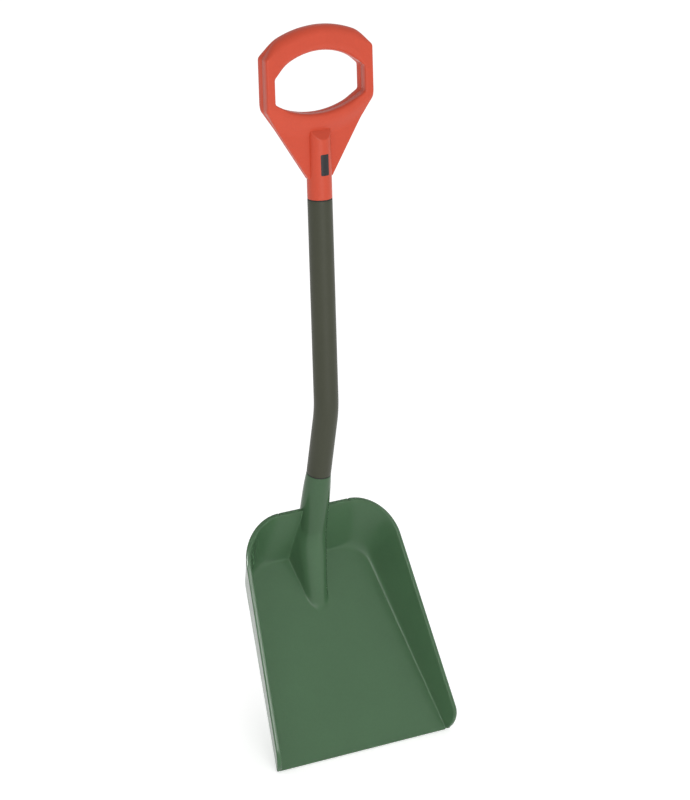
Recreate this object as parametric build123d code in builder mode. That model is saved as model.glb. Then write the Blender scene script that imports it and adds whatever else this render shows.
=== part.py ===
"""A small grain scoop shovel: a moulded scoop, a bent tubular shaft and a D grip in two halves.

The upper shaft stands upright, along +Z. The scoop hangs below it and opens towards -Y, and the
plane X = 0 is the plane of symmetry. All sizes are in millimetres and degrees.
"""

import os
from math import atan2, cos, degrees, radians, sin

from build123d import *

# Where the scoop stands
floor_tilt = 31.0  # between the scoop's floor and the upper shaft
front_edge_y = -66.64  # centres the whole tool on the origin

# Scoop
floor_wall = 4.0
side_wall = 6.5
floor_length = 267.5
floor_half_front = 125.5
floor_half_back = 88.5
floor_corner = 26.0
rim_length = 321.0  # along the floor, from the front edge to the rim's back edge
rim_half_front = 139.5
rim_half_back = 112.5
rim_corner = 60.5
rim_height_front = 23.0
rim_height_back = 64.5
overrun = 40.0  # how far the forms run past the front edge before they are trimmed
front_corner = 28.0  # rounding of each side wall's front end
floor_rounding = 7.0
rim_rounding = 1.5

# Socket and nose, in the plane of symmetry: distance along the floor and height above it
mouth_along = 352.5
mouth_height = 99.7
socket_angle = 46.0  # between the floor and the lower shaft
nose_angle = 29.4  # between the floor and the nose's crest
nose_tip = 193.5  # where the crest meets the floor
nose_back = 255.0  # the last place along the floor where the crest keeps the nose's angle
nose_end = 180.0  # past the tip, under the floor
socket_wall = 4.0
flare_radius = 17.4
flare_depth = 16.0  # from the mouth, down the socket
rim_radius = 18.4
rim_depth = 45.0
root_radius = 19.5
root_depth = 80.0
nose_back_radius = 22.0
nose_end_radius = 17.0
plug_length = 30.0  # solid stretch of the socket below its mouth

# Shaft
shaft_radius = 16.0
tube_wall = 2.0
bend_radius = 120.0
lower_length = 96.1  # from the socket's mouth to the bend's corner
upper_length = 279.8  # from the bend's corner to the grip's neck
seal_thickness = 1.5
spigot_length = 45.0
spigot_gap = 0.1

# Grip: places are heights above the neck's lower end
grip_thickness = 24.0
web_thickness = 9.0
corner_half = 77.5
low_corner = 121.8
high_corner = 189.2
shoulder_half = 60.0
shoulder = 209.5
grip_top = 222.7
web_foot_half = 17.3
web_foot = 26.8
hole_half = 65.5
hole_low = 130.9
hole_high = 163.2
hole_top = 190.2
hole_bottom = 111.1
fold_depth = 18.0  # width of the bar between the hand hole and the thinner web
outer_corner = 8.0
shoulder_corner = 30.0
hole_corner = 5.0
bar_rounding = 4.5
boss_top = 92.0
boss_slope = 14.0  # length of the boss's sloping upper end
boss_clearance = 1.6  # how far the slope's cut stands clear of the boss

# Label plate and rivets
label_width = 11.5
label_height = 27.5
label_foot = 31.5
label_corner = 1.5
label_thickness = 1.4
label_seat = 14.4  # the pocket's floor, from the shaft's axis
rivet_radius = 2.4
rivet_head_radius = 4.5
rivet_head_height = 1.8
rivet_dome = 1.5
rivet_reach = 9.0  # from the shaft's axis to the rivet's inner end
rivet_place = 22.0  # from the joint, along the shaft

# Planes of the scoop: x across, y along the floor from the front edge, z up from the floor
floor_plane = Plane(
    origin=(0, front_edge_y, floor_wall * sin(radians(floor_tilt))),
    x_dir=(1, 0, 0),
    z_dir=(0, -cos(radians(floor_tilt)), sin(radians(floor_tilt))),
)
rim_slope = degrees(atan2(rim_height_back - rim_height_front, rim_length))
rim_stretch = 1 / cos(radians(rim_slope))
rim_plane = floor_plane.offset(rim_height_front).rotated((rim_slope, 0, 0))


def in_scoop(along, height):
    """The point of the plane of symmetry at this distance along the floor and this height."""
    return floor_plane.from_local_coords(Vector(0, along, height))


def square_to(along, height, angle):
    """A plane there, square to the plane of symmetry, whose normal makes this angle with the floor."""
    here = in_scoop(along, height)
    ahead = in_scoop(along + cos(radians(angle)), height + sin(radians(angle)))
    return Plane(origin=here, x_dir=(1, 0, 0), z_dir=ahead - here)


def tray_outline(plane, half_front, half_back, length, corner):
    """A tray's outline on this plane, from ahead of the front edge to its two rounded back corners."""
    half_ahead = half_front + (half_front - half_back) / length * overrun
    with BuildSketch(plane) as outline:
        with BuildLine():
            Polyline(
                (-half_ahead, -overrun),
                (half_ahead, -overrun),
                (half_back, length),
                (-half_back, length),
                close=True,
            )
        make_face()
        fillet(outline.vertices().sort_by(Axis.Y)[-2:], corner)
    return outline.sketch.face()


def tray(depth, margin, rim_margin):
    """A lofted form from the floor's outline, this deep and this much wider, to the rim's outline."""
    floor_outline = tray_outline(
        floor_plane.offset(-depth),
        floor_half_front + margin,
        floor_half_back + margin,
        floor_length + margin,
        floor_corner + margin,
    )
    rim_outline = tray_outline(
        rim_plane,
        rim_half_front - rim_margin,
        rim_half_back - rim_margin,
        (rim_length - rim_margin) * rim_stretch,
        rim_corner - rim_margin,
    )
    with BuildPart() as form:
        loft(sections=[floor_outline, rim_outline], ruled=True)
    return form


def socket(shrink, start, end):
    """The socket's and nose's form from this depth below the mouth, this much smaller all round."""
    crest_run = cos(radians(nose_angle))
    crest_rise = sin(radians(nose_angle))
    with BuildPart() as form:
        sections = [(start, shaft_radius), (rim_depth, rim_radius), (root_depth, root_radius)]
        if start < flare_depth:
            sections.insert(1, (flare_depth, flare_radius))
        for depth, radius in sections:
            along = mouth_along - depth * cos(radians(socket_angle))
            height = mouth_height - depth * sin(radians(socket_angle))
            with BuildSketch(square_to(along, height, socket_angle)):
                Circle(radius - shrink)
        for crest, radius in ((nose_back, nose_back_radius), (end, nose_end_radius)):
            along = crest + radius * crest_rise
            height = (crest - nose_tip) * crest_rise / crest_run - radius * crest_run
            with BuildSketch(square_to(along, height, nose_angle)):
                Circle(radius - shrink)
        loft()
    return form


# Scoop --------------------------------------------------------------------------------------
tray_outside = tray(floor_wall, side_wall, 0)
tray_inside = tray(0, 0, side_wall)
socket_outside = socket(0, 0, nose_end)
socket_inside = socket(socket_wall, plug_length, nose_end - 2 * socket_wall)
mouth = square_to(mouth_along, mouth_height, socket_angle)
side_plane = Plane(floor_plane.origin, x_dir=floor_plane.y_dir, z_dir=floor_plane.x_dir)
corner_top = rim_height_front + front_corner * (rim_height_back - rim_height_front) / rim_length
corner_foot = corner_top - front_corner
cut_start = -2 * overrun  # well ahead of everything that is trimmed
spigot_radius = shaft_radius - tube_wall - spigot_gap

# The shaft's corners, and the planes of its joints and rivets
mouth_point = in_scoop(mouth_along, mouth_height)
bend_point = mouth_point + mouth.z_dir * lower_length
neck_point = bend_point + Vector(0, 0, upper_length)
neck = Plane(origin=neck_point, x_dir=(1, 0, 0), z_dir=(0, 0, 1))


def rivet_plane(centre, shaft_direction):
    """The plane of a rivet's inner end: its normal points to the rear, square to the shaft."""
    rearward = Vector(1, 0, 0).cross(shaft_direction) * -1
    return Plane(origin=centre + rearward * rivet_reach, x_dir=(1, 0, 0), z_dir=rearward)


low_rivet_plane = rivet_plane(mouth_point + mouth.z_dir * rivet_place, mouth.z_dir)
high_rivet_plane = rivet_plane(neck_point - neck.z_dir * rivet_place, neck.z_dir)


def on_floor(edge):
    """Whether this edge of the tray's inside lies in the floor, behind the front overrun."""
    middle_point = floor_plane.to_local_coords(edge.center())
    return abs(middle_point.Z) < 0.01 and middle_point.Y > 1 - overrun


with BuildPart() as tray_hollow:
    add(tray_inside.part)
    fillet(tray_hollow.edges().filter_by(on_floor), floor_rounding)

with BuildPart() as scoop:
    add(tray_outside.part)
    add(tray_hollow.part, mode=Mode.SUBTRACT)
    # The side walls' front ends are rounded off, and all that is ahead of the front edge goes
    with BuildSketch(side_plane):
        with BuildLine():
            Polyline((0, corner_foot), (0, -overrun), (cut_start, -overrun), (cut_start, rim_height_back))
            Polyline((cut_start, rim_height_back), (front_corner, rim_height_back), (front_corner, corner_top))
            RadiusArc((0, corner_foot), (front_corner, corner_top), front_corner)
        make_face()
    extrude(amount=2 * rim_half_front, both=True, mode=Mode.SUBTRACT)
    rim_face = scoop.faces().filter_by(lambda face: face.normal_at().get_angle(rim_plane.z_dir) < 1)
    fillet(rim_face.edges().filter_by(lambda edge: edge.length > 2 * side_wall), rim_rounding)
    # The socket runs down into the back wall, and its hollow opens under the floor
    add(socket_outside.part)
    add(socket_inside.part, mode=Mode.SUBTRACT)
    with BuildSketch(floor_plane.offset(-floor_wall)):
        with Locations((0, rim_length / 2)):
            Rectangle(2 * rim_length, 2 * rim_length)
    extrude(amount=-rim_length, mode=Mode.SUBTRACT)
    # The spigot that fills the shaft's lower end
    with BuildSketch(mouth):
        Circle(spigot_radius)
    extrude(amount=spigot_length)
    with BuildSketch(low_rivet_plane):
        Circle(rivet_radius)
    extrude(amount=shaft_radius, mode=Mode.SUBTRACT)
scoop.part.label = "scoop"

# Shaft --------------------------------------------------------------------------------------
with BuildPart() as shaft_tube:
    with BuildLine():
        FilletPolyline(
            mouth_point + mouth.z_dir * seal_thickness,
            bend_point,
            neck_point - Vector(0, 0, seal_thickness),
            radius=bend_radius,
        )
    with BuildSketch(mouth.offset(seal_thickness)):
        Circle(shaft_radius)
        Circle(shaft_radius - tube_wall, mode=Mode.SUBTRACT)
    sweep()
    with BuildSketch(low_rivet_plane, high_rivet_plane):
        Circle(rivet_radius)
    extrude(amount=shaft_radius, mode=Mode.SUBTRACT)
shaft_tube.part.label = "shaft_tube"


def seal(plane):
    """A thin ring flush with the shaft, standing on this plane."""
    with BuildPart() as ring:
        with BuildSketch(plane):
            Circle(shaft_radius)
            Circle(shaft_radius - tube_wall, mode=Mode.SUBTRACT)
        extrude(amount=seal_thickness)
    return ring


scoop_joint_seal = seal(mouth)
scoop_joint_seal.part.label = "scoop_joint_seal"
grip_joint_seal = seal(neck.offset(-seal_thickness))
grip_joint_seal.part.label = "grip_joint_seal"


def rivet(plane, shaft_direction):
    """A blind rivet: its shank from near the shaft's middle, its domed head saddled on the tube."""
    with BuildPart() as fixing:
        with BuildSketch(plane):
            Circle(rivet_head_radius)
        extrude(amount=shaft_radius - rivet_reach + rivet_head_height)
        fillet(fixing.edges().sort_by(Axis(plane.origin, plane.z_dir))[-1], rivet_dome)
        with BuildSketch(Plane(plane.origin - plane.z_dir * rivet_reach, z_dir=shaft_direction)):
            Circle(shaft_radius)
        extrude(amount=2 * rivet_head_radius, both=True, mode=Mode.SUBTRACT)
        with BuildSketch(plane):
            Circle(rivet_radius)
        extrude(amount=shaft_radius - rivet_reach + rivet_head_height / 2)
    return fixing


scoop_rivet = rivet(low_rivet_plane, mouth.z_dir)
scoop_rivet.part.label = "scoop_rivet"
grip_rivet = rivet(high_rivet_plane, neck.z_dir)
grip_rivet.part.label = "grip_rivet"

# Grip ---------------------------------------------------------------------------------------
def at_the_sides(point):
    """Whether this corner of an outline is one of the grip's side corners."""
    return abs(point.X) > hole_half


def at_the_shoulders(point):
    """Whether this corner of an outline is one of the two where the arch meets its shoulders."""
    return abs(abs(point.X) - shoulder_half) < 1 and point.Y > high_corner


# Each half is drawn flat on XY, x across and y up from the neck's lower end, with z away from the
# joint face between the halves, and is then stood on the shaft.
with BuildLine() as arch:
    Line((corner_half, low_corner), (corner_half, high_corner))
    Line((corner_half, high_corner), (shoulder_half, shoulder))
    ThreePointArc((shoulder_half, shoulder), (0, grip_top), (-shoulder_half, shoulder))
    Line((-shoulder_half, shoulder), (-corner_half, high_corner))
    Line((-corner_half, high_corner), (-corner_half, low_corner))

with BuildSketch() as hand_hole:
    with BuildLine():
        Line((hole_half, hole_low), (hole_half, hole_high))
        ThreePointArc((hole_half, hole_high), (0, hole_top), (-hole_half, hole_high))
        Line((-hole_half, hole_high), (-hole_half, hole_low))
        ThreePointArc((-hole_half, hole_low), (0, hole_bottom), (hole_half, hole_low))
    make_face()
    fillet(hand_hole.vertices(), hole_corner)

with BuildSketch() as web_outline:
    with BuildLine():
        add(arch.line)
        Polyline((-corner_half, low_corner), (-web_foot_half, web_foot), (web_foot_half, web_foot))
        Line((web_foot_half, web_foot), (corner_half, low_corner))
    make_face()
    fillet(web_outline.vertices().filter_by(at_the_sides), outer_corner)
    fillet(web_outline.vertices().filter_by(at_the_shoulders), shoulder_corner)
    add(hand_hole.sketch, mode=Mode.SUBTRACT)

with BuildSketch() as bar_outline:
    with BuildLine():
        add(arch.line)
        ThreePointArc((-corner_half, low_corner), (0, hole_bottom - fold_depth), (corner_half, low_corner))
    make_face()
    fillet(bar_outline.vertices().filter_by(at_the_sides), outer_corner)
    fillet(bar_outline.vertices().filter_by(at_the_shoulders), shoulder_corner)
    add(hand_hole.sketch, mode=Mode.SUBTRACT)

with BuildPart() as half_grip:
    # The bar round the hand hole, then the thinner web
    add(bar_outline.sketch)
    extrude(amount=grip_thickness / 2)
    fillet(half_grip.faces().sort_by(Axis.Z)[-1].edges(), bar_rounding)
    add(web_outline.sketch)
    extrude(amount=web_thickness / 2)
    # The neck and the boss are one half-round, whose upper end slopes back into the web
    with BuildSketch(Plane.XZ):
        with BuildLine():
            CenterArc((0, 0), shaft_radius, 0, 180)
            Line((-shaft_radius, 0), (shaft_radius, 0))
        make_face()
    extrude(amount=-boss_top)
    with BuildSketch(Plane.YZ):
        with BuildLine():
            Polyline(
                (boss_top, web_thickness / 2),
                (boss_top - boss_slope, shaft_radius + boss_clearance),
                (boss_top, shaft_radius + boss_clearance),
                close=True,
            )
        make_face()
    extrude(amount=shaft_radius, both=True, mode=Mode.SUBTRACT)
    # The half spigot that fills the shaft's upper end
    with BuildSketch(Plane.XZ):
        with BuildLine():
            CenterArc((0, 0), spigot_radius, 0, 180)
            Line((-spigot_radius, 0), (spigot_radius, 0))
        make_face()
    extrude(amount=spigot_length)

label_centre = neck_point + Vector(0, -label_seat, label_foot + label_height / 2)
label_plane = Plane(label_centre, x_dir=(1, 0, 0), z_dir=(0, -1, 0))

with BuildPart() as grip_front_half:
    with Locations(Plane(neck.origin, x_dir=(1, 0, 0), z_dir=(0, -1, 0))):
        add(half_grip.part)
    with BuildSketch(label_plane):
        RectangleRounded(label_width, label_height, label_corner)
    extrude(amount=shaft_radius, mode=Mode.SUBTRACT)
grip_front_half.part.label = "grip_front_half"

with BuildPart() as grip_rear_half:
    with Locations(Plane(neck.origin, x_dir=(-1, 0, 0), z_dir=(0, 1, 0))):
        add(half_grip.part)
    with BuildSketch(high_rivet_plane):
        Circle(rivet_radius)
    extrude(amount=shaft_radius, mode=Mode.SUBTRACT)
grip_rear_half.part.label = "grip_rear_half"

with BuildPart() as label_plate:
    with BuildSketch(label_plane):
        RectangleRounded(label_width, label_height, label_corner)
    extrude(amount=label_thickness)
label_plate.part.label = "label_plate"

pieces = (
    scoop,
    shaft_tube,
    grip_front_half,
    grip_rear_half,
    label_plate,
    scoop_joint_seal,
    grip_joint_seal,
    scoop_rivet,
    grip_rivet,
)
os.makedirs("parts", exist_ok=True)
for piece in pieces:
    export_step(piece.part, f"parts/{piece.part.label}.step")
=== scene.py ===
"""The look of a grain scoop shovel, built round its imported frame.

A moulded scoop hangs from a bent tubular shaft with a D grip in two halves. Every piece is a surface
worked out with numpy from the frame's own places, in metres.
"""

import math

import bmesh
import bpy
import numpy as np
from bpy.props import FloatProperty, FloatVectorProperty, PointerProperty
from mathutils import Matrix, Vector


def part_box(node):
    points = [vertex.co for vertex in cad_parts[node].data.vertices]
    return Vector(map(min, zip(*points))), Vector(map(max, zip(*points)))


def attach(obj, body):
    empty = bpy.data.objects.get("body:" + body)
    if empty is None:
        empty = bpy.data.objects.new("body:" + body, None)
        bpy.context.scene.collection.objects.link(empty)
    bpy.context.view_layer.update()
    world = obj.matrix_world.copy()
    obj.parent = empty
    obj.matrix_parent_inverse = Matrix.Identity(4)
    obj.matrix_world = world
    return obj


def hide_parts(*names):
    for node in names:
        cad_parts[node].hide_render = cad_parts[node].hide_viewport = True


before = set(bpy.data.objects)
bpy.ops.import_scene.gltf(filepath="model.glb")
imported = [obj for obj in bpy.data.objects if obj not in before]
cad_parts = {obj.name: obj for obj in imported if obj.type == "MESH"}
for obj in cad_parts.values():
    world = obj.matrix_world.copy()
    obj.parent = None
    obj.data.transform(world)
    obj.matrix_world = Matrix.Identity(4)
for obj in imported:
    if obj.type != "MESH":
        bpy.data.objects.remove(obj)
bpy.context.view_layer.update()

bl_info = {
    "name": "Grain Scoop Shovel",
    "version": (1, 0, 0),
    "blender": (4, 5, 0),
    "location": "3D View > Sidebar > Scoop",
    "description": "Builds the scoop, shaft and grip of a grain scoop shovel round its frame",
    "category": "Object",
}

MM = 0.001

# The frame's own places: the shaft's axis and ends, and the scoop's plane
NECK_LOW, NECK_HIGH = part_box("grip_joint_seal")
NECK = (NECK_LOW + NECK_HIGH) / 2
NECK.z = NECK_HIGH.z
MOUTH_LOW, MOUTH_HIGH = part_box("scoop_joint_seal")
FLOOR_TILT = math.radians(31.0)
SOCKET_ANGLE = math.radians(46.0)
ALONG = Vector((0, math.sin(FLOOR_TILT), math.cos(FLOOR_TILT)))
UP = Vector((0, -math.cos(FLOOR_TILT), math.sin(FLOOR_TILT)))
SOCKET_AXIS = ALONG * math.cos(SOCKET_ANGLE) + UP * math.sin(SOCKET_ANGLE)
SEAL_THICKNESS = 1.5 * MM
MOUTH = (MOUTH_LOW + MOUTH_HIGH) / 2 - SOCKET_AXIS * SEAL_THICKNESS / 2
MOUTH_ALONG, MOUTH_HEIGHT = 352.5, 99.7  # millimetres, from the scoop's front edge and floor
FRONT_EDGE = MOUTH - ALONG * MOUTH_ALONG * MM - UP * MOUTH_HEIGHT * MM
SHAFT_RADIUS = 16.0  # millimetres
ACROSS, UPRIGHT = np.array([1.0, 0, 0]), np.array([0, 0, 1.0])


# Sizes and colours -------------------------------------------------------------------------------
class ScoopSizes(bpy.types.PropertyGroup):
    wall: FloatProperty(
        name="Floor", description="Thickness of the scoop's floor", default=0.004, unit="LENGTH"
    )
    side_wall: FloatProperty(
        name="Sides", description="Thickness of the side walls", default=0.0065, unit="LENGTH"
    )
    side_fillet: FloatProperty(
        name="Side fillet",
        description="Softness of the crease below the side walls",
        default=0.010,
        unit="LENGTH",
    )
    nose_fillet: FloatProperty(
        name="Nose fillet", description="Softness of the crease round the nose", default=0.004, unit="LENGTH"
    )
    colour: FloatVectorProperty(
        name="Scoop",
        description="Scoop's plastic",
        default=(0.0460, 0.0975, 0.0480, 1),
        size=4,
        subtype="COLOR",
    )


class ShaftSizes(bpy.types.PropertyGroup):
    radius: FloatProperty(name="Radius", description="Shaft's outer radius", default=0.016, unit="LENGTH")
    bend_radius: FloatProperty(
        name="Bend", description="Radius of the shaft's bend", default=0.12, unit="LENGTH"
    )
    colour: FloatVectorProperty(
        name="Shaft",
        description="Shaft's coating",
        default=(0.040, 0.043, 0.027, 1),
        size=4,
        subtype="COLOR",
    )
    seal_colour: FloatVectorProperty(
        name="Seal",
        description="Joint rings' rubber",
        default=(0.022, 0.022, 0.020, 1),
        size=4,
        subtype="COLOR",
    )
    rivet_colour: FloatVectorProperty(
        name="Rivet",
        description="Rivets' steel",
        default=(0.55, 0.55, 0.54, 1),
        size=4,
        subtype="COLOR",
    )


class GripSizes(bpy.types.PropertyGroup):
    half_depth: FloatProperty(
        name="Half depth", description="Half the bar's depth", default=0.012, unit="LENGTH"
    )
    web_half_depth: FloatProperty(
        name="Web half depth", description="Half the web's depth", default=0.0045, unit="LENGTH"
    )
    colour: FloatVectorProperty(
        name="Grip",
        description="Grip's plastic",
        default=(0.48, 0.058, 0.027, 1),
        size=4,
        subtype="COLOR",
    )
    label_colour: FloatVectorProperty(
        name="Label",
        description="Label plate's plastic",
        default=(0.020, 0.020, 0.022, 1),
        size=4,
        subtype="COLOR",
    )


# Arrays ------------------------------------------------------------------------------------------
def smooth_step(value):
    """0 below 0, 1 above 1, and 3t squared less 2t cubed between."""
    t = np.clip(value, 0, 1)
    return t * t * (3 - 2 * t)


def soft_max(a, b, softness):
    """The larger of two fields, with their crease rounded over this difference in height."""
    near = np.maximum(softness - np.abs(a - b), 0)
    return np.maximum(a, b) + near * near / (4 * np.maximum(softness, 1e-9))


def soft_min(a, b, softness):
    """The smaller of two fields, rounded in the same way."""
    return -soft_max(-a, -b, softness)


def solve(function, low, high):
    """Where a rising function of arrays crosses zero, by halving the interval forty times."""
    for _ in range(40):
        middle = (low + high) / 2
        above = function(middle) > 0
        high = np.where(above, middle, high)
        low = np.where(above, low, middle)
    return (low + high) / 2


def full_turn(sides):
    """Equal angles once round a circle."""
    return np.linspace(0, 2 * np.pi, sides + 1)[:-1]


def unit(vectors):
    """Vectors divided by their lengths."""
    return vectors / np.maximum(np.linalg.norm(vectors, axis=-1, keepdims=True), 1e-9)


def normals_of(points):
    """Unit normals of a height field's grid: the cross product of its two central differences."""
    return unit(np.cross(np.gradient(points, axis=1), np.gradient(points, axis=0)))


def grid_faces(rows, columns, wrap_rows=False, wrap_columns=False):
    """Four-sided faces of a grid of vertices numbered along its rows."""
    down = np.arange(rows if wrap_rows else rows - 1)
    over = np.arange(columns if wrap_columns else columns - 1)
    r, c = np.meshgrid(down, over, indexing="ij")
    r1, c1 = (r + 1) % rows, (c + 1) % columns
    faces = np.stack([r * columns + c, r1 * columns + c, r1 * columns + c1, r * columns + c1], axis=-1)
    return faces.reshape(-1, 4)


def stack_faces(parts):
    """One vertex array and one face array out of several."""
    vertices, faces, start = [], [], 0
    for part_vertices, part_faces in parts:
        vertices.append(part_vertices.reshape(-1, 3))
        faces.append(part_faces + start)
        start += vertices[-1].shape[0]
    return np.concatenate(vertices), np.concatenate(faces)


def make_piece(name, node, parts, material, crease=40.0):
    """Puts closed grids into one mesh that stands for a node, with its doubles merged."""
    vertices, faces = stack_faces(parts)
    mesh = bpy.data.meshes.new(name)
    mesh.vertices.add(len(vertices))
    mesh.vertices.foreach_set("co", vertices.astype(np.float32).ravel())
    mesh.loops.add(faces.size)
    mesh.loops.foreach_set("vertex_index", faces.astype(np.int32).ravel())
    mesh.polygons.add(len(faces))
    mesh.polygons.foreach_set("loop_start", np.arange(0, faces.size, 4, dtype=np.int32))
    mesh.polygons.foreach_set("loop_total", np.full(len(faces), 4, dtype=np.int32))
    mesh.update(calc_edges=True)
    mesh.validate()
    piece = bpy.data.objects.new(name, mesh)
    bpy.context.scene.collection.objects.link(piece)
    work = bmesh.new()
    work.from_mesh(mesh)
    bmesh.ops.remove_doubles(work, verts=work.verts, dist=1e-6)
    bmesh.ops.dissolve_degenerate(work, edges=work.edges, dist=1e-7)
    bmesh.ops.recalc_face_normals(work, faces=work.faces)
    work.to_mesh(mesh)
    work.free()
    mesh.shade_smooth()
    mesh.set_sharp_from_angle(angle=math.radians(crease))
    mesh.materials.append(material)
    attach(piece, "root")
    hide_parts(node)
    return piece


def in_world(points):
    """Points given across, along the floor and up from it, in millimetres, as places in metres."""
    basis = np.array([(1, 0, 0), ALONG, UP])
    return np.array(FRONT_EDGE) + points @ basis * MM


def on_grip(points):
    """Points given across, up from the neck's end and to the front, in millimetres, as places."""
    basis = np.array([(1, 0, 0), (0, 0, 1), (0, -1, 0)])
    return np.array(NECK) + points @ basis * MM


# Scoop -------------------------------------------------------------------------------------------
# Places are x across, v along the floor from the front edge, and a height above the floor
FLOOR_LENGTH, FLOOR_HALF_FRONT, FLOOR_HALF_BACK, FLOOR_CORNER = 267.5, 125.5, 88.5, 26.0
# The inside's edge, where the rim's rounding begins
RIM_LENGTH, RIM_HALF_FRONT, RIM_HALF_BACK, RIM_CORNER = 313.4, 132.5, 105.5, 53.3
RIM_HEIGHT_FRONT, RIM_HEIGHT_BACK = 21.5, 62.5
LIP = 1.6  # radius of the tray's rounded edge
FRONT_CORNER = 28.0  # radius of each side wall's front end
LOWEST_SHARE, HIGHEST_SHARE = -8.0, 1.6  # limits between which a place's share is sought
HEEL, HEEL_RUN = 225.0, 60.0  # where the back wall starts to lean, and over how far
SIDE_START, SIDE_RUN = 38.0, 40.0  # where the crease starts to widen, and over how far
CREASE, CRISP_CREASE = 1.2, 1.0  # softness of the tightest creases, inside and outside
NOSE_TIP, NOSE_RADIUS, NOSE_TAPER = 193.5, 16.5, 0.055
NOSE_RISE = math.tan(math.radians(29.4))
SOCKET_RISE = math.tan(SOCKET_ANGLE)
CREST_RADIUS = 18.5  # the socket's usual radius, for the depth that a place on its crest lies at
FLARE, FLARE_DEPTH = 2.0, 16.0
SOCKET_TAPER, TAPER_DEPTH = 0.015, 95.0
ROUND_SHARE = 0.95  # how much of a half-cone's width is round
DRAFT = 4.5  # the nose's sides fall this much for each unit across
NOSE_BLEND = 5.0  # softness of the crease between the two half-cones
TUCK, TUCK_START, TUCK_RUN = 0.5, 284.0, 26.0  # the nose passes just inside the socket there
UNDERSIDE = -4.0  # height of the floor's underside
SOCKET_PLUG = 30.0  # the socket is solid this far below its mouth
SOCKET_FRONT, SOCKET_REAR = 92.0, 117.0  # how deep the socket goes on its open side and its rear
# Depth below the mouth and distance inside the cone of each ring that rounds the socket's end
SOCKET_LIP = np.array([(0, 16), (0, 8), (0, 0.9), (0.08, 0.5), (0.26, 0.22), (0.6, 0.06), (1, 0)])
# Offsets of the columns that crowd round the nose's side and round the crease below the walls
NOSE_STEPS = np.array([-3.2, -2.2, -1.5, -0.9, -0.4, 0, 0.4, 0.9, 1.5, 2.2, 3.2, 4.6])
CREASE_STEPS = np.array([-9, -6, -4.2, -2.9, -1.9, -1.1, -0.5, 0, 0.5, 1.1, 1.8, 2.6, 3.6])
FLOOR_ROOM, WALL_ROOM = 14.0, 6.0  # widths from which those columns have their full spread
CORNER_INSET = 14.0  # how far in the crease's columns move round the back corners


def tapered(front, back, length, v):
    """A size that goes straight from its front value to its back one over this length."""
    return front - (front - back) / length * v


def floor_half(v):
    """Half the floor's width, tapered."""
    return tapered(FLOOR_HALF_FRONT, FLOOR_HALF_BACK, FLOOR_LENGTH, v)


def rim_half(v):
    """Half the rim's width, tapered."""
    return tapered(RIM_HALF_FRONT, RIM_HALF_BACK, RIM_LENGTH, v)


def rim_height(v):
    """The rim's height over the floor, tapered."""
    return tapered(RIM_HEIGHT_FRONT, RIM_HEIGHT_BACK, RIM_LENGTH, v)


def wall_share(x, v):
    """How far up the wall a place lies: 0 at the floor's outline, 1 at the rim's, straight between.

    At each share the outline is a tapered rectangle with two rounded corners, and the share is the
    one whose outline passes through the place.
    """

    def inside(share):
        half = floor_half(v) * (1 - share) + rim_half(v) * share
        length = FLOOR_LENGTH * (1 - share) + RIM_LENGTH * share
        corner = np.maximum(FLOOR_CORNER * (1 - share) + RIM_CORNER * share, 1.0)
        past_x = np.abs(x) - half + corner
        past_v = v - length + corner
        round_part = np.hypot(np.maximum(past_x, 0), np.maximum(past_v, 0))
        return corner - np.where((past_x > 0) | (past_v > 0), round_part, np.maximum(past_x, past_v))

    return solve(inside, np.full(np.shape(x), LOWEST_SHARE), np.full(np.shape(x), HIGHEST_SHARE))


def basin(x, v, side_fillet):
    """Height of the scoop's inside: the floor and the walls, with a crease that widens to the back.

    A wall's height is its share of the rim's height, which is read further back where the back wall
    leans.
    """
    share = wall_share(x, v)
    leaning = smooth_step((v - HEEL) / HEEL_RUN)
    ahead_of_rim = np.clip(1 - share, 0, 1) * (RIM_LENGTH - FLOOR_LENGTH) * leaning
    height = share * rim_height(v + ahead_of_rim)
    widening = smooth_step((np.abs(x) - SIDE_START) / SIDE_RUN) * np.clip(v / FLOOR_LENGTH, 0, 1) ** 1.3
    return soft_max(np.zeros_like(height), height, CREASE + side_fillet * widening)


def socket_radius(depth):
    """The socket's radius this far below its mouth: a quick flare, then a slow straight one."""
    flare = FLARE * (1 - np.exp(-depth / FLARE_DEPTH))
    return SHAFT_RADIUS + flare + SOCKET_TAPER * np.minimum(depth, TAPER_DEPTH)


def half_cone(x, axis, radius, rise):
    """Height of a tilted half-cone whose sides turn into a straight draft.

    A tilted round bar's height is its axis's height plus the root of radius squared less x squared,
    over the cosine of its tilt.
    """
    lean = math.sqrt(1 + rise * rise)
    shoulder = ROUND_SHARE * radius
    inner = np.minimum(np.abs(x), shoulder)
    round_part = np.sqrt(np.maximum(radius**2 - inner**2, 0)) * lean
    return axis + round_part - DRAFT * np.maximum(np.abs(x) - shoulder, 0)


def nose(x, v, shrink):
    """Height of the nose: the larger of two half-cones, the socket's and the nose's own."""
    depth = (MOUTH_ALONG - v - CREST_RADIUS * math.sin(SOCKET_ANGLE)) / math.cos(SOCKET_ANGLE)
    socket_axis = MOUTH_HEIGHT + (v - MOUTH_ALONG) * SOCKET_RISE
    radius = NOSE_RADIUS + NOSE_TAPER * (v - NOSE_TIP)
    nose_axis = (v - NOSE_TIP) * NOSE_RISE - radius * math.sqrt(1 + NOSE_RISE**2)
    return soft_max(
        half_cone(x, socket_axis, socket_radius(depth) - shrink, SOCKET_RISE),
        half_cone(x, nose_axis, radius - shrink, NOSE_RISE),
        NOSE_BLEND,
    )


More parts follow.
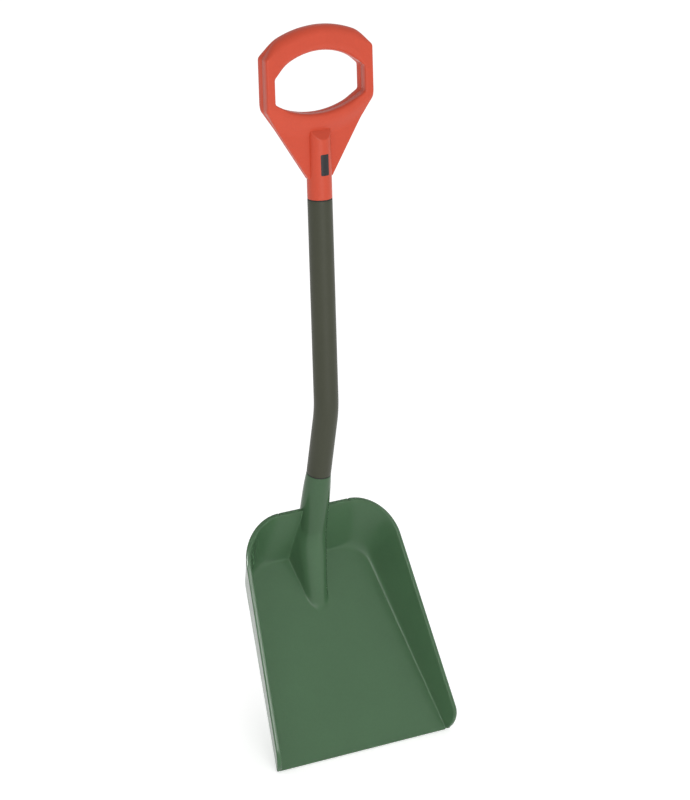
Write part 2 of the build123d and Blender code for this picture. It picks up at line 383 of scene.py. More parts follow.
def rim_edge(v):
    """Half the inside's width at its edge: the rim with its round corners, or the wall's front end."""
    past = np.clip((v - (RIM_LENGTH - RIM_CORNER)) / RIM_CORNER, 0, 1)
    at_rim = rim_half(v) - RIM_CORNER * (1 - np.sqrt(np.maximum(1 - past**2, 0)))
    turned = FRONT_CORNER - LIP
    foot = rim_height(FRONT_CORNER) - turned
    rise = np.sqrt(np.maximum(turned**2 - np.maximum(FRONT_CORNER - v, 0) ** 2, 0))
    top = np.clip((foot + rise) / rim_height(v), 0.0, 1)
    return np.where(v < FRONT_CORNER, floor_half(v) * (1 - top) + at_rim * top, at_rim)


def scoop_rows():
    """Places along the floor, closer together at the front ends, over the nose and at the back."""
    before_nose, after_nose = 186.0, 300.0
    front_end = LIP + (FRONT_CORNER - LIP) * (1 - np.cos(np.linspace(0, np.pi / 2, 16)))
    centre = RIM_LENGTH - RIM_CORNER
    corner_turn = np.linspace(math.asin((after_nose - centre) / RIM_CORNER), np.pi / 2, 26)
    return np.concatenate(
        [
            front_end,
            np.linspace(FRONT_CORNER, before_nose, 34)[1:],
            np.linspace(before_nose, after_nose, 96)[1:],
            centre + RIM_CORNER * np.sin(corner_turn)[1:],
        ]
    )


def scoop_columns(v, side_fillet):
    """Places across each row, crowded where the nose and the walls leave the floor.

    One half runs from the middle to the nose's side, across the floor to the crease, and up the wall
    to its edge. The other half is its mirror image.
    """
    edge = rim_edge(v)[:, None]
    v = v[:, None]
    least, most = np.full(v.shape, 0.5), np.full(v.shape, 40.0)
    beside = solve(lambda x: basin(x, v, side_fillet) - nose(x, v, 0), least, most)
    start_width = 5.0 + 4.0 * smooth_step((NOSE_TIP + 6 - v) / 60)
    side = soft_max(np.where(v < NOSE_TIP + 1, 0, beside), start_width, 3.0)
    corner_start = FLOOR_LENGTH - FLOOR_CORNER
    corner_reach = np.clip((v - corner_start) / (RIM_LENGTH - corner_start), 0, 1)
    valley = floor_half(np.minimum(v, corner_start)) - CORNER_INSET * corner_reach
    # The crease keeps inside the edge, by a margin that eases in behind the front edge
    valley = np.minimum(valley, edge - 0.4 * np.clip(v, 0, 6) / 6)
    low = side + NOSE_STEPS[-1]
    room = np.maximum(valley - low, 1)
    scale = np.minimum(room / FLOOR_ROOM, 1)
    high = low + room + CREASE_STEPS[0] * scale
    outward = np.minimum(np.maximum(edge - valley, 0) / WALL_ROOM, 1)
    last = valley + CREASE_STEPS[-1] * outward
    half = np.concatenate(
        [
            np.sin(np.linspace(0, 1, 12)[:-1] * np.pi / 2) * (side + NOSE_STEPS[0]),
            side + NOSE_STEPS,
            low + (high - low) * np.linspace(0, 1, 15)[1:-1],
            valley + CREASE_STEPS * np.where(CREASE_STEPS < 0, scale, outward),
            last + (edge - last) * np.linspace(0, 1, 8)[1:],
        ],
        axis=1,
    )
    return np.concatenate([-half[:, :0:-1], half], axis=1)


def border(rows, columns):
    """The numbers of a grid's outermost vertices, once round."""
    place = np.arange(rows * columns).reshape(rows, columns)
    return np.concatenate([place[0], place[1:, -1], place[-1, -2::-1], place[-2:0:-1, 0]])


def rounded_edge(points, normals, thickness):
    """Rings that carry the inside's border over to the outside: a quarter circle, a flat and another.

    Each ring is the border, set back along its normals and moved out square to them.
    """
    tangents = unit(np.roll(points, -1, axis=0) - np.roll(points, 1, axis=0))
    outward = unit(np.cross(tangents, normals))
    turn = np.linspace(0, np.pi / 2, 6)[:, None]
    first = LIP * (1 - np.cos(turn)) + 0 * thickness
    second = thickness - LIP + LIP * np.sin(turn)
    depth = np.concatenate([first, second])[..., None]
    reach = LIP * np.concatenate([np.sin(turn), np.cos(turn)])[..., None]
    return points - depth * normals + reach * outward


def scoop_shell(wall, side_wall, side_fillet, nose_fillet):
    """The scoop's tray as a closed shell: its inside, its outside and the rounded edge's rings.

    The height over each place is the basin's and the nose's larger one. The outside is the same
    with crisper creases, moved by the wall along its normals, and the wall thickens from the floor's
    to the sides' up the side walls.
    """
    rows = scoop_rows()
    x = scoop_columns(rows, side_fillet)
    v = np.broadcast_to(rows[:, None], x.shape)
    bump = nose(x, v, TUCK * smooth_step((v - TUCK_START) / TUCK_RUN))
    height = soft_max(basin(x, v, side_fillet), bump, nose_fillet)
    inside = np.stack([x, v, height], axis=-1)
    climb = smooth_step((wall_share(x, v) + 0.35) / 0.5) * smooth_step((height - bump - 2) / 8)
    thickness = wall + (side_wall - wall) * climb
    crisp = np.stack([x, v, soft_max(basin(x, v, CRISP_CREASE), bump, nose_fillet)], axis=-1)
    outside = crisp - normals_of(crisp) * thickness[..., None]

    loop = border(*x.shape)
    ring = rounded_edge(
        inside.reshape(-1, 3)[loop], normals_of(inside).reshape(-1, 3)[loop], thickness.ravel()[loop]
    )
    outside.reshape(-1, 3)[loop] = ring[-1]
    # The underside and the front edge are flat, so nothing hangs below or ahead of them
    lowest = np.array([-np.inf, 0, -wall])
    return inside, np.maximum(outside, lowest), np.maximum(ring, lowest)


def socket_tube(wall):
    """The socket: a cone about the lower shaft's axis, from its mouth down into the nose.

    Its circles go down the outside, and back up the inside one wall smaller as far as the plug. What
    would pass the underside is moved back along the axis until it meets it.
    """
    turn = full_turn(96)
    axis = np.array([0, math.cos(SOCKET_ANGLE), math.sin(SOCKET_ANGLE)])
    square = np.array([0, -math.sin(SOCKET_ANGLE), math.cos(SOCKET_ANGLE)])
    mouth = np.array([0, MOUTH_ALONG, MOUTH_HEIGHT])
    # The cosine is 1 on the open side and -1 at the rear
    last = SOCKET_FRONT + (SOCKET_REAR - SOCKET_FRONT) * smooth_step((0.15 - np.cos(turn)) / 0.6)
    lip_depth, lip_shrink = SOCKET_LIP.T
    down = np.linspace(0, 1, 60)[1:, None]
    back_up = np.linspace(1, 0, 24)[:, None]
    depth = np.concatenate(
        [
            lip_depth[:, None] + 0 * last,
            lip_depth[-1] + (last - lip_depth[-1]) * down,
            SOCKET_PLUG + (last - SOCKET_PLUG) * back_up,
        ]
    )
    shrink = np.concatenate([lip_shrink, 0 * down[:, 0], 0 * back_up[:, 0] + wall])
    radius = socket_radius(depth) - shrink[:, None]
    spokes = np.cos(turn)[:, None] * square + np.sin(turn)[:, None] * ACROSS
    points = mouth - depth[..., None] * axis + radius[..., None] * spokes
    points -= np.minimum(points[..., 2:] - UNDERSIDE, 0) / axis[2] * axis
    plug_middle = 0 * points[:1] + mouth - SOCKET_PLUG * axis
    return np.concatenate([points, plug_middle])


# Grip --------------------------------------------------------------------------------------------
# Places are x across, y up from the neck's lower end, and z away from the halves' joint face
GRIP_HALF, GRIP_LOW, GRIP_HIGH, GRIP_TOP, ARCH_RADIUS = 77.5, 121.8, 189.2, 222.7, 138.0
SHOULDER_HALF, SHOULDER = 60.0, 209.5
HOLE_HALF, HOLE_TOP, HOLE_BOTTOM, HOLE_CENTRE = 65.5, 190.2, 111.1, 147.0
HOLE_TOP_RADIUS, HOLE_BOTTOM_RADIUS = 93.0, 118.2
FOLD_WIDTH, FOLD_RADIUS, FOLD_SOFTNESS = 18.0, 130.5, 24.0  # the step from the bar to the web
FOOT, FOOT_HALF = 26.8, 17.3
CORNER_BLEND, SHOULDER_BLEND, HOLE_BLEND = 1.6, 3.5, 2.0  # softness of the outlines' corners
SEAM = 0.04  # chamfer where the halves meet
EDGE_ROUND = 2.5  # rounding of the grip's edges where nothing adds to it
ARCH_ROUND, WEB_ROUND = 8.0, -1.0  # added to the outer edge along the arch and along the web
HOLE_TOP_ROUND, HOLE_BOTTOM_ROUND = 7.0, 2.5  # added to the hole's edge at its top and its bottom
NECK_LIP = 0.6
SPIGOT_RADIUS, SPIGOT_LENGTH = 13.9, 45.0
BOSS_TOP, BOSS_SLOPE, BOSS_END = 92.0, 14.0, 95.0


def disc(x, y, centre, radius):
    """Distance outside a circle on the grip's middle line."""
    return np.hypot(x, y - centre) - radius


def outside_hole(x, y):
    """Distance outside the hand hole: two straight sides and two circles, with rounded corners."""
    upper = disc(x, y, HOLE_TOP - HOLE_TOP_RADIUS, HOLE_TOP_RADIUS)
    lower = disc(x, y, HOLE_BOTTOM + HOLE_BOTTOM_RADIUS, HOLE_BOTTOM_RADIUS)
    return soft_max(np.abs(x) - HOLE_HALF, np.maximum(upper, lower), HOLE_BLEND)


def inside_outline(x, y):
    """Distance inside the grip's outline: an arch, its shoulders, straight sides and slanted sides."""
    across = np.abs(x)
    arch = disc(x, y, GRIP_TOP - ARCH_RADIUS, ARCH_RADIUS)
    fall = math.atan2(SHOULDER - GRIP_HIGH, GRIP_HALF - SHOULDER_HALF)
    shoulder = (across - GRIP_HALF) * math.sin(fall) + (y - GRIP_HIGH) * math.cos(fall)
    slope = math.atan2(GRIP_HALF - FOOT_HALF, GRIP_LOW - FOOT)
    slant = (across - FOOT_HALF) * math.cos(slope) - (y - FOOT) * math.sin(slope)
    sides = soft_max(across - GRIP_HALF, slant, CORNER_BLEND)
    top = soft_max(arch, shoulder, SHOULDER_BLEND)
    return -soft_max(soft_max(top, sides, CORNER_BLEND), FOOT - y, 1.0)


def grip_shell(half_depth, web_half_depth):
    """One half of the grip as a closed ring round the hand hole.

    Each column is a ray from the hole's middle. Its rows climb the hole's edge, round over it, cross
    the face, round over the outer edge and come back along the joint face.
    """
    angle = full_turn(640)

    def at(radius):
        return radius * np.cos(angle), HOLE_CENTRE + radius * np.sin(angle)

    def where(field):
        """The radius at which a field over the grip crosses zero."""
        near, far = np.full(angle.shape, 10.0), np.full(angle.shape, 190.0)
        return solve(lambda radius: field(*at(radius)), near, far)

    def face(x, y):
        """Height of the face: the bar's depth, easing down to the web's outside the fold's circle."""
        fold = disc(x, y, HOLE_BOTTOM - FOLD_WIDTH + FOLD_RADIUS, FOLD_RADIUS)
        return half_depth - (half_depth - web_half_depth) * smooth_step((fold + 11) / FOLD_SOFTNESS)

    hole_edge = where(outside_hole)
    outer_edge = where(lambda x, y: -inside_outline(x, y))
    edge_y = at(outer_edge)[1]
    hole_y = at(hole_edge)[1]
    on_arch = smooth_step((edge_y - GRIP_HIGH + 4) / 26)
    on_web = smooth_step((GRIP_LOW - 6 - edge_y) / 14)
    at_top, at_bottom = smooth_step((hole_y - 165) / 16), smooth_step((126 - hole_y) / 8)
    outer_round = EDGE_ROUND + ARCH_ROUND * on_arch + WEB_ROUND * on_web
    hole_round = EDGE_ROUND + HOLE_TOP_ROUND * at_top + HOLE_BOTTOM_ROUND * at_bottom
    first = where(lambda x, y: outside_hole(x, y) - hole_round)
    final = np.maximum(where(lambda x, y: outer_round - inside_outline(x, y)), first + 0.4)

    turn = np.linspace(0, np.pi / 2, 9)[:, None]
    share = np.linspace(0, 1, 46)[1:-1, None]
    radius = np.vstack(
        [
            hole_edge + (first - hole_edge) * (1 - np.cos(turn)),
            first + (final - first) * share,
            outer_edge + (final - outer_edge) * (1 - np.cos(turn[::-1])),
        ]
    )
    drop = np.vstack(
        [hole_round * (1 - np.sin(turn)), 0 * first * share, outer_round * (1 - np.sin(turn[::-1]))]
    )
    height = np.maximum(face(*at(radius)) - drop, SEAM)
    hole_seam = where(lambda x, y: outside_hole(x, y) - SEAM)
    outer_seam = where(lambda x, y: SEAM - inside_outline(x, y))
    level = np.zeros(angle.shape)
    x, y = at(np.vstack([hole_seam, hole_edge, radius, outer_edge, outer_seam]))
    z = np.vstack([level, level + SEAM, height, level + SEAM, level])
    return np.stack([x, y, z], axis=-1)


def boss_shell(web_half_depth):
    """The half spigot, neck and boss: half circles carried up the neck, cut by the joint face.

    A sloping plane cuts the boss's upper end down into the web.
    """
    turn = np.concatenate([[0.0], np.linspace(0.01, np.pi - 0.01, 47), [np.pi]])
    groove = np.where((turn == 0) | (turn == np.pi), SEAM, 0)
    quarter = np.linspace(0, np.pi / 2, 6)
    slope_start = 72.0
    straight = np.linspace(NECK_LIP, slope_start, 30)[1:]
    body = np.concatenate([straight, np.linspace(slope_start, BOSS_END, 40)[1:]])
    climb = np.concatenate(
        [[-SPIGOT_LENGTH, -SPIGOT_LENGTH, 0.0], NECK_LIP * (1 - np.cos(quarter)), body, [BOSS_END]]
    )[:, None]
    radius = np.concatenate(
        [
            [0.0, SPIGOT_RADIUS, SPIGOT_RADIUS],
            SHAFT_RADIUS - NECK_LIP * (1 - np.sin(quarter)),
            0 * body + SHAFT_RADIUS,
            [0.0],
        ]
    )[:, None]
    spread = np.maximum(radius - groove, 0)
    x = -np.cos(turn) * spread
    slope = (SHAFT_RADIUS - web_half_depth) / BOSS_SLOPE
    ending = SHAFT_RADIUS - (climb - (BOSS_TOP - BOSS_SLOPE)) * slope
    z = np.maximum(soft_min(np.sin(turn) * spread, ending, 0.8), 0)
    return np.stack([x, np.broadcast_to(climb, x.shape), z], axis=-1)


# Shaft and fixings -------------------------------------------------------------------------------
TUBE_WALL, TUBE_LIP = 2 * MM, 0.35 * MM
SEAL_LIP = 0.5 * MM
RIVET_PLACE, RIVET_REACH = 22 * MM, 9 * MM  # from the joint; shank's end from the shaft's middle
RIVET_SHANK, RIVET_HEAD, RIVET_RISE = 2.4 * MM, 4.5 * MM, 1.8 * MM  # two radii, the dome's height
RIVET_PIN, RIVET_PIN_EDGE, RIVET_PIN_DEPTH = 0.35 * MM, 0.45 * MM, 0.35 * MM
# The label's places are the grip's, in millimetres, and its foot is its lower edge's height
LABEL_HALF_WIDTH, LABEL_HALF_HEIGHT, LABEL_CORNER, LABEL_FOOT = 5.75, 13.75, 1.2, 31.5
LABEL_PROUD, LABEL_SUNK, LABEL_SOFT = 0.2, 0.8, 0.35


def shaft_path(bend_radius):
    """The shaft's middle line and its tangents: a straight run, a circle's arc and a straight run."""
    start = np.array(MOUTH + SOCKET_AXIS * SEAL_THICKNESS)
    end = np.array(NECK) - SEAL_THICKNESS * UPRIGHT
    low_way = np.array(SOCKET_AXIS)
    corner = start + low_way * (end[1] - start[1]) / low_way[1]
    bend = math.acos(low_way[2])
    lean = math.copysign(1.0, low_way[1])
    setback = bend_radius * math.tan(bend / 2)
    low_end, high_start = corner - low_way * setback, corner + UPRIGHT * setback
    centre = high_start - np.array([0, lean * bend_radius, 0])
    turn = np.linspace(bend, 0, 22)[1:-1, None]
    arc_way = np.concatenate([0 * turn, lean * np.sin(turn), np.cos(turn)], axis=1)
    arc = centre + bend_radius * np.concatenate([0 * turn, lean * np.cos(turn), -np.sin(turn)], axis=1)
    low = start + (low_end - start) * np.linspace(0, 1, 14)[:, None]
    high = high_start + (end - high_start) * np.linspace(0, 1, 34)[:, None]
    path = np.concatenate([low, arc, high])
    ways = np.concatenate([0 * low + low_way, arc_way, 0 * high + UPRIGHT])
    return path, ways


def tube(path, ways, radius, bore):
    """A hollow tube: circles about the path, out along the outside and back along the bore.

    Each end is rounded by a quarter circle, drawn as rings set back from the end.
    """
    turn = full_turn(96)
    quarter = np.linspace(0, np.pi / 2, 5)[:-1]
    setback = TUBE_LIP * (1 - np.cos(quarter))[:, None]
    shrink = TUBE_LIP * (1 - np.sin(quarter))
    body = path.copy()
    body[0] += ways[0] * TUBE_LIP
    body[-1] -= ways[-1] * TUBE_LIP
    up = np.cross(ACROSS, ways)
    first_up, last_up = np.repeat(up[:1], len(quarter), 0), np.repeat(up[-1:], len(quarter), 0)

    def rings(stations, up, radii):
        spokes = np.cos(turn)[:, None] * ACROSS + np.sin(turn)[:, None] * up[:, None, :]
        return stations[:, None, :] + radii[:, None, None] * spokes

    outer = rings(
        np.concatenate([path[0] + ways[0] * setback, body, path[-1] - ways[-1] * setback[::-1]]),
        np.concatenate([first_up, up, last_up]),
        radius - np.concatenate([shrink, np.zeros(len(body)), shrink[::-1]]),
    )
    inner = rings(path, up, np.full(len(path), bore))[::-1]
    return np.concatenate([outer, inner])


def revolved(profile, base, axis):
    """A profile of radii and heights turned about an axis, square to the tool's width, at its base."""
    turn = full_turn(96)
    spokes = np.cos(turn)[:, None] * ACROSS + np.sin(turn)[:, None] * np.cross(axis, ACROSS)
    return base + profile[:, 1, None, None] * axis + profile[:, 0, None, None] * spokes


def seal_profile(radius, bore):
    """A soft ring's section: a rectangle's four corners, each a quarter circle, walked round once."""
    near, far = bore + SEAL_LIP, radius - SEAL_LIP
    low, high = SEAL_LIP, SEAL_THICKNESS - SEAL_LIP
    middles = np.array([(far, high), (near, high), (near, low), (far, low)])
    angle = np.linspace(0, np.pi / 2, 6) + np.arange(4)[:, None] * np.pi / 2
    arcs = np.stack([np.cos(angle), np.sin(angle)], axis=-1)
    return (middles[:, None] + SEAL_LIP * arcs).reshape(-1, 2)


def rivet_shell(base, axis, along, shaft_radius):
    """A blind rivet: a shank inside the tube, and a domed head whose rim is saddled on the tube.

    The saddle's height is the root of the tube's radius squared less the place across squared. The
    dome's rises with 1 less the squared share of the head's radius, to the power 0.4. A round pit
    in its top is where the pin broke off.
    """
    turn = full_turn(48)
    dome = np.cos(np.linspace(0, np.pi / 2, 14)[1:-1])
    rim_share = 0.94
    radii = np.concatenate(
        [
            [0, RIVET_SHANK, RIVET_SHANK, RIVET_HEAD * rim_share, RIVET_HEAD],
            RIVET_HEAD * dome,
            [RIVET_PIN_EDGE, RIVET_PIN, 0],
        ]
    )[:, None]
    saddle = np.sqrt(shaft_radius**2 - (radii * np.cos(turn)) ** 2)
    crown = shaft_radius + RIVET_RISE * (1 - dome[:, None] ** 2) ** 0.4
    domed = np.maximum(crown, saddle[5:-3] + 0.3 * MM)
    heights = np.concatenate(
        [
            np.full((2, len(turn)), RIVET_REACH),
            saddle[2:4] - 0.15 * MM,
            saddle[4:5] + 0.25 * MM,
            domed,
            domed[-1:],
            np.full((2, len(turn)), domed[-1].mean() - RIVET_PIN_DEPTH),
        ]
    )
    spokes = np.cos(turn)[:, None] * np.cross(along, axis) + np.sin(turn)[:, None] * along
    return base + heights[..., None] * axis + radii[..., None] * spokes


def label_shell():
    """The label plate: a rounded rectangle laid on the boss's circle, with soft edges.

    Each column is a ray from its middle, out over the top, round the edge and back underneath.
    """
    angle = full_turn(160)

    def outside(x, y):
        past_x = np.abs(x) - LABEL_HALF_WIDTH + LABEL_CORNER
        past_y = np.abs(y) - LABEL_HALF_HEIGHT + LABEL_CORNER
        flat = np.maximum(past_x, past_y)
        round_part = np.hypot(np.maximum(past_x, 0), np.maximum(past_y, 0))
        return np.where(flat > 0, round_part, flat) - LABEL_CORNER

    def inset(distance):
        """The rays' lengths to the outline moved in by this distance."""
        nearest = 0 * angle + 0 * distance
        return solve(
            lambda reach: outside(reach * np.cos(angle), reach * np.sin(angle)) + distance,
            nearest,
            nearest + 30,
        )

    turn = np.linspace(0, np.pi / 2, 6)[1:, None]
    inner = inset(LABEL_SOFT) * np.linspace(0, 1, 9)[:, None]
    reach = np.vstack([inner, inset(LABEL_SOFT * (1 - np.sin(turn))), inset(0.0), 0 * angle])
    x, y = reach * np.cos(angle), reach * np.sin(angle)
    top, bottom = SHAFT_RADIUS + LABEL_PROUD, SHAFT_RADIUS - LABEL_SUNK
    rounding = top - LABEL_SOFT * (1 - np.cos(turn))
    level = np.vstack([0 * inner[:, :1] + top, rounding, [[bottom], [bottom]]])
    return np.stack([x, LABEL_FOOT + LABEL_HALF_HEIGHT + y, np.sqrt(level**2 - x**2)], axis=-1)


# Materials ---------------------------------------------------------------------------------------
def noise(tree, place, scale, detail, roughness=0.5):
    """A noise over the piece's own place, and its value from 0 to 1."""
    texture = tree.nodes.new("ShaderNodeTexNoise")
    texture.inputs["Scale"].default_value = scale
    texture.inputs["Detail"].default_value = detail
    texture.inputs["Roughness"].default_value = roughness
    tree.links.new(place.outputs["Object"], texture.inputs["Vector"])
    return texture.outputs["Fac"]


def stretched(tree, value, half_range, middle, swing):
    """A noise's middle range stretched to a middle value, give or take this swing."""
    span = tree.nodes.new("ShaderNodeMapRange")
    span.inputs["From Min"].default_value = 0.5 - half_range
    span.inputs["From Max"].default_value = 0.5 + half_range
    span.inputs["To Min"].default_value = middle - swing
    span.inputs["To Max"].default_value = middle + swing
    tree.links.new(value, span.inputs["Value"])
    return span.outputs["Result"]


def moulded(name, colour, roughness, mottle, grain, depth, shine=0.25, metallic=0.0):
    """A finish with slow shifts of colour and roughness, and a fine grain of this size and depth."""
    finish = bpy.data.materials.new(name)
    finish.use_nodes = True
    tree = finish.node_tree
    shader = tree.nodes["Principled BSDF"]
    shader.inputs["Metallic"].default_value = metallic
    shader.inputs["Specular IOR Level"].default_value = shine
    place = tree.nodes.new("ShaderNodeTexCoord")

    shade = stretched(tree, noise(tree, place, 14.0, 4.0, 0.6), 0.2, 1, mottle)
    speckle = stretched(tree, noise(tree, place, 0.35 / grain, 2.0), 0.15, 1, mottle / 2)
    both = tree.nodes.new("ShaderNodeMath")
    both.operation = "MULTIPLY"
    tree.links.new(shade, both.inputs[0])
    tree.links.new(speckle, both.inputs[1])
    tint = tree.nodes.new("ShaderNodeVectorMath")
    tint.operation = "SCALE"
    tint.inputs[0].default_value = colour[:3]
    tree.links.new(both.outputs["Value"], tint.inputs["Scale"])
    tree.links.new(tint.outputs["Vector"], shader.inputs["Base Color"])

    gloss = stretched(tree, noise(tree, place, 60.0, 3.0), 0.2, roughness, 0.04)
    tree.links.new(gloss, shader.inputs["Roughness"])
    bump = tree.nodes.new("ShaderNodeBump")
    bump.inputs["Distance"].default_value = depth
    tree.links.new(noise(tree, place, 1.0 / grain, 2.0), bump.inputs["Height"])
    tree.links.new(bump.outputs["Normal"], shader.inputs["Normal"])
    return finish


# Operators ---------------------------------------------------------------------------------------
class ScoopTray(bpy.types.Operator):
    """Builds the moulded scoop with its nose and socket"""

    bl_idname = "scoop_shovel.tray"
    bl_label = "Scoop"

    def execute(self, context):
        sizes = context.scene.scoop_sizes
        inside, outside, ring = scoop_shell(
            sizes.wall / MM, sizes.side_wall / MM, sizes.side_fillet / MM, sizes.nose_fillet / MM
        )
        faces = grid_faces(*inside.shape[:2])
        parts = [
            (in_world(inside), faces),
            (in_world(outside), faces[:, ::-1]),
            (in_world(ring), grid_faces(*ring.shape[:2], wrap_columns=True)),
        ]
        finish = moulded(
            "scoop_plastic", sizes.colour, roughness=0.21, mottle=0.035, grain=1.1 * MM, depth=0.02 * MM
        )
        tray = make_piece("scoop_tray", "scoop", parts, finish, crease=50)
        barrel = socket_tube(sizes.wall / MM)
        faces = grid_faces(*barrel.shape[:2], wrap_columns=True)
        socket = make_piece("scoop_socket", "scoop", [(in_world(barrel), faces)], finish, crease=50)
        return {"FINISHED"}


class ScoopShaft(bpy.types.Operator):
    """Builds the bent tubular shaft"""

    bl_idname = "scoop_shovel.shaft"
    bl_label = "Shaft"

    def execute(self, context):
        sizes = context.scene.shaft_sizes
        path, ways = shaft_path(sizes.bend_radius)
        rings = tube(path, ways, sizes.radius, sizes.radius - TUBE_WALL)
        faces = grid_faces(*rings.shape[:2], wrap_rows=True, wrap_columns=True)
        finish = moulded(
            "shaft_coating", sizes.colour, roughness=0.42, mottle=0.03, grain=1.4 * MM, depth=0.04 * MM
        )
        shaft = make_piece("shaft", "shaft_tube", [(rings, faces)], finish, crease=60)
        return {"FINISHED"}


class ScoopSeals(bpy.types.Operator):
    """Builds the thin rings at the shaft's two ends"""

    bl_idname = "scoop_shovel.seals"
    bl_label = "Seals"

    def execute(self, context):
        sizes = context.scene.shaft_sizes
        finish = moulded(
            "seal_rubber", sizes.seal_colour, roughness=0.6, mottle=0.05, grain=0.6 * MM, depth=0.02 * MM
        )
        profile = seal_profile(sizes.radius - 0.1 * MM, sizes.radius - TUBE_WALL)
        low = revolved(profile, np.array(MOUTH), np.array(SOCKET_AXIS))
        high = revolved(profile, np.array(NECK) - SEAL_THICKNESS * UPRIGHT, UPRIGHT)
        for name, node, rings in (
            ("scoop_joint_ring", "scoop_joint_seal", low),
            ("grip_joint_ring", "grip_joint_seal", high),
        ):
            faces = grid_faces(*rings.shape[:2], wrap_rows=True, wrap_columns=True)
            ring = make_piece(name, node, [(rings, faces)], finish, crease=60)
        return {"FINISHED"}


class ScoopRivets(bpy.types.Operator):
    """Builds the two blind rivets at the rear of the shaft"""

    bl_idname = "scoop_shovel.rivets"
    bl_label = "Rivets"

    def execute(self, context):
        sizes = context.scene.shaft_sizes
        finish = moulded(
            "rivet_steel",
            sizes.rivet_colour,
            roughness=0.34,
            mottle=0.06,
            grain=0.5 * MM,
            depth=0.02 * MM,
            shine=0.5,
            metallic=0.9,
        )
        low_way = np.array(SOCKET_AXIS)
        for name, node, middle, way in (
            ("scoop_rivet_head", "scoop_rivet", np.array(MOUTH) + RIVET_PLACE * low_way, low_way),
            ("grip_rivet_head", "grip_rivet", np.array(NECK) - RIVET_PLACE * UPRIGHT, UPRIGHT),
        ):
            rearward = -np.cross(ACROSS, way)
            rings = rivet_shell(middle, rearward, way, sizes.radius)
            faces = grid_faces(*rings.shape[:2], wrap_columns=True)
            head = make_piece(name, node, [(rings, faces)], finish, crease=45)
        return {"FINISHED"}


class ScoopGrip(bpy.types.Operator):
    """Builds the two halves of the D grip"""

    bl_idname = "scoop_shovel.grip"
    bl_label = "Grip"

    def execute(self, context):
        sizes = context.scene.grip_sizes
        finish = moulded(
            "grip_plastic", sizes.colour, roughness=0.34, mottle=0.03, grain=1.0 * MM, depth=0.02 * MM
        )
        body = grip_shell(sizes.half_depth / MM, sizes.web_half_depth / MM)
        boss = boss_shell(sizes.web_half_depth / MM)
        for name, node, facing in (
            ("grip_front", "grip_front_half", np.array([1, 1, 1])),
            ("grip_rear", "grip_rear_half", np.array([-1, 1, -1])),
        ):
            parts = [
                (on_grip(body * facing), grid_faces(*body.shape[:2], wrap_rows=True, wrap_columns=True)),
                (on_grip(boss * facing), grid_faces(*boss.shape[:2], wrap_columns=True)),
            ]
            half = make_piece(name, node, parts, finish, crease=50)
        return {"FINISHED"}


class ScoopLabel(bpy.types.Operator):
    """Builds the blank label plate on the grip's boss"""

    bl_idname = "scoop_shovel.label"
    bl_label = "Label"

    def execute(self, context):
        sizes = context.scene.grip_sizes
        finish = moulded(
            "label_plastic", sizes.label_colour, roughness=0.3, mottle=0.05, grain=0.8 * MM, depth=0.01 * MM
        )
        rings = on_grip(label_shell())
        faces = grid_faces(*rings.shape[:2], wrap_columns=True)
        plate = make_piece("label", "label_plate", [(rings, faces)], finish)
        return {"FINISHED"}


SHEET_REACH, SHEET_DROP, SHEET_PLACES = 15.0, 0.5 * MM, 9  # the floor's, each way from the middle
LAMP_AIM = Vector((0, 0, 0.42))
# Name, direction from the tool, distance, size and power of each lamp
LAMPS = (
    ("key", (-0.35, -0.88, 0.32), 2.6, 0.60, 16),
    ("front", (-0.10, -0.98, 0.10), 3.2, 1.4, 15),
    ("fill", (0.60, -0.70, 0.38), 3.2, 1.6, 3),
    ("glint", (-0.68, -0.55, 0.49), 2.6, 0.35, 130),
)
CAMERA_TARGET, CAMERA_DISTANCE = Vector((0.058056, 0.054942, 0.437462)), 5.29321
CAMERA_AZIMUTH, CAMERA_ELEVATION, CAMERA_ROLL = (math.radians(angle) for angle in (-30.698, 17.1, -1.689))


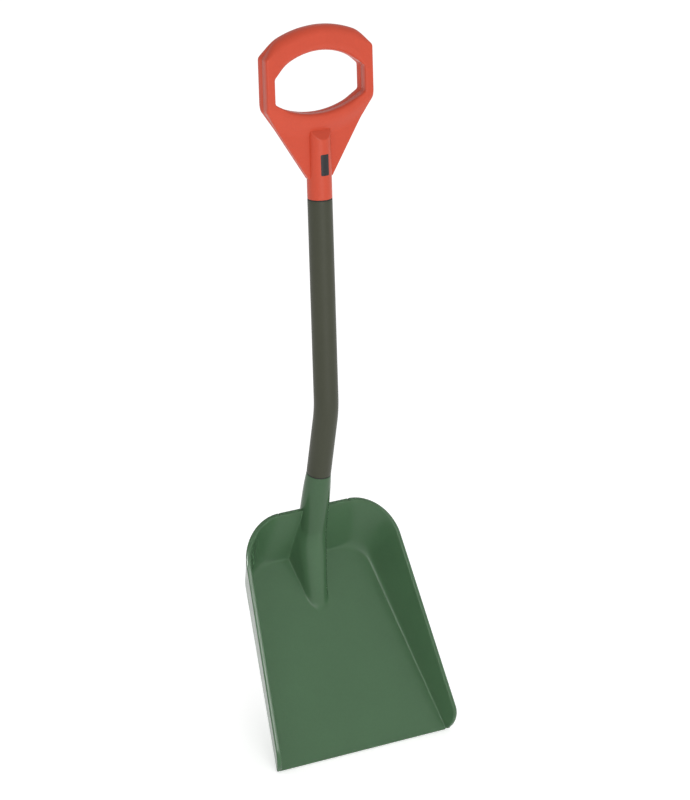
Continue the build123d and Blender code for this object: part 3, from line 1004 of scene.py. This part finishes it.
class ScoopStage(bpy.types.Operator):
    """Lays the pale floor, hangs the soft lights and sets up the camera"""

    bl_idname = "scoop_shovel.stage"
    bl_label = "Stage"

    def execute(self, context):
        scene = context.scene
        self.lay_floor(scene)
        self.hang_lamps(scene)
        self.set_camera(scene)
        scene.view_settings.view_transform = "Standard"
        return {"FINISHED"}

    def lay_floor(self, scene):
        """A flat sheet just below the tool, glowing a little, under a white sky."""
        places = np.linspace(-SHEET_REACH, SHEET_REACH, SHEET_PLACES)
        x, y = np.meshgrid(places, places, indexing="ij")
        sheet = np.stack([x, y, np.full(x.shape, -SHEET_DROP)], axis=-1)
        mesh = bpy.data.meshes.new("floor")
        mesh.from_pydata(sheet.reshape(-1, 3).tolist(), [], grid_faces(*x.shape).tolist())
        floor = bpy.data.objects.new("floor", mesh)
        scene.collection.objects.link(floor)
        pale = bpy.data.materials.new("pale_floor")
        pale.use_nodes = True
        surface = pale.node_tree.nodes["Principled BSDF"]
        surface.inputs["Base Color"].default_value = (0.9, 0.9, 0.9, 1)
        surface.inputs["Roughness"].default_value = 0.9
        surface.inputs["Specular IOR Level"].default_value = 0.1
        surface.inputs["Emission Color"].default_value = (1, 1, 1, 1)
        surface.inputs["Emission Strength"].default_value = 0.42
        mesh.materials.append(pale)
        scene.world = bpy.data.worlds.new("studio")
        scene.world.use_nodes = True
        sky = scene.world.node_tree.nodes["Background"]
        sky.inputs["Color"].default_value = (1, 1, 1, 1)
        sky.inputs["Strength"].default_value = 0.72

    def hang_lamps(self, scene):
        """Soft square lamps. The glint lamp only makes a highlight along the scoop's creases."""
        glinting = bpy.data.collections.new("glinting")
        glinting.objects.link(bpy.data.objects["scoop_tray"])
        for name, way, distance, size, power in LAMPS:
            light = bpy.data.lights.new(name, "AREA")
            light.shape = "SQUARE"
            light.size = size
            light.energy = power
            lamp = bpy.data.objects.new(name, light)
            scene.collection.objects.link(lamp)
            if name == "glint":
                lamp.visible_diffuse = False
                lamp.light_linking.receiver_collection = glinting
            direction = Vector(way).normalized()
            lamp.location = LAMP_AIM + direction * distance
            lamp.rotation_euler = direction.to_track_quat("Z", "Y").to_euler()

    def set_camera(self, scene):
        """A long lens that looks at the open side, from -X and a little above, turned a little."""
        lens = bpy.data.cameras.new("camera")
        lens.sensor_width = 36
        lens.lens = 183.0
        lens.clip_end = 60
        camera = bpy.data.objects.new("camera", lens)
        scene.collection.objects.link(camera)
        level = Vector((math.cos(CAMERA_AZIMUTH), math.sin(CAMERA_AZIMUTH), 0))
        ahead = Vector((math.sin(CAMERA_AZIMUTH), -math.cos(CAMERA_AZIMUTH), 0))
        back = ahead * math.cos(CAMERA_ELEVATION) + Vector(UPRIGHT) * math.sin(CAMERA_ELEVATION)
        right = level * math.cos(CAMERA_ROLL) + back.cross(level) * math.sin(CAMERA_ROLL)
        turned = Matrix((right, back.cross(right), back)).transposed().to_4x4()
        turned.translation = CAMERA_TARGET + back * CAMERA_DISTANCE
        camera.matrix_world = turned
        scene.camera = camera


class ScoopPanel(bpy.types.Panel):
    bl_idname = "VIEW3D_PT_scoop_shovel"
    bl_label = "Grain Scoop Shovel"
    bl_space_type = "VIEW_3D"
    bl_region_type = "UI"
    bl_category = "Scoop"

    def draw(self, context):
        for sizes in (context.scene.scoop_sizes, context.scene.shaft_sizes, context.scene.grip_sizes):
            box = self.layout.box()
            for name in sizes.__annotations__:
                box.prop(sizes, name)
        for operator in OPERATORS:
            self.layout.operator(operator.bl_idname)


GROUPS = {"scoop_sizes": ScoopSizes, "shaft_sizes": ShaftSizes, "grip_sizes": GripSizes}
OPERATORS = (ScoopTray, ScoopShaft, ScoopSeals, ScoopRivets, ScoopGrip, ScoopLabel, ScoopStage)


def register():
    for kind in (*GROUPS.values(), *OPERATORS, ScoopPanel):
        bpy.utils.register_class(kind)
    for name, group in GROUPS.items():
        setattr(bpy.types.Scene, name, PointerProperty(type=group))


def unregister():
    for name in GROUPS:
        delattr(bpy.types.Scene, name)
    for kind in (ScoopPanel, *reversed(OPERATORS), *GROUPS.values()):
        bpy.utils.unregister_class(kind)


def main():
    register()
    bpy.ops.scoop_shovel.tray()
    bpy.ops.scoop_shovel.shaft()
    bpy.ops.scoop_shovel.seals()
    bpy.ops.scoop_shovel.rivets()
    bpy.ops.scoop_shovel.grip()
    bpy.ops.scoop_shovel.label()
    bpy.ops.scoop_shovel.stage()


if __name__ == "__main__":
    main()
